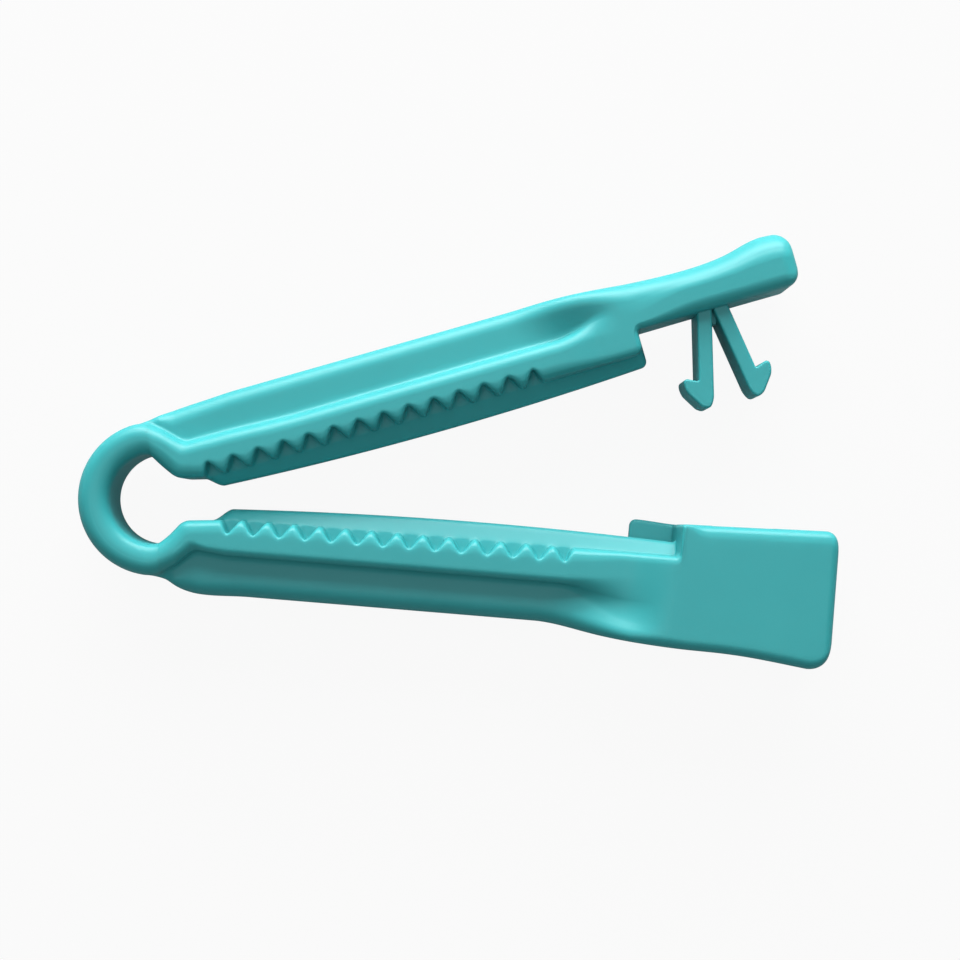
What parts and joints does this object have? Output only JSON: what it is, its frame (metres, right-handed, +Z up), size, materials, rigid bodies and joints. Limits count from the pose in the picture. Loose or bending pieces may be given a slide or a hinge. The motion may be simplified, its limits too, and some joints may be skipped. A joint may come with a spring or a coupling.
{
  "type": "umbilical cord clamp",
  "caption": "Sprung plastic clamp with long toothed jaws on a ring hinge; barbed prongs under a finger tab snap into a catch box to hold a cord shut.",
  "frame": {"origin": "under the middle of the open clamp's bounding box, on the surface it lies on", "axes": "+X from the ring towards the latch along the line halfway between the jaws, +Y across the mouth towards the jaw with the finger tab, +Z up through the width of the moulding"},
  "size_m": [0.065, 0.038, 0.009],
  "materials": {
    "moulding": "satin"
  },
  "bodies": {
    "lower": {"lower_jaw": "moulding", "spring_ring": "moulding"},
    "upper": {"upper_jaw": "moulding", "latch_hooks": "moulding"}
  },
  "joints": [
    {"name": "jaw_close", "type": "hinge", "parent": "lower", "child": "upper", "pos_m": [-0.02585, 0.00077, 0.0045], "axis": [0, 0, -1], "range_deg": [0, 16.8], "stiffness_Nm_per_rad": 0.9, "deforming": ["spring_ring", "latch_hooks"]}
  ]
}
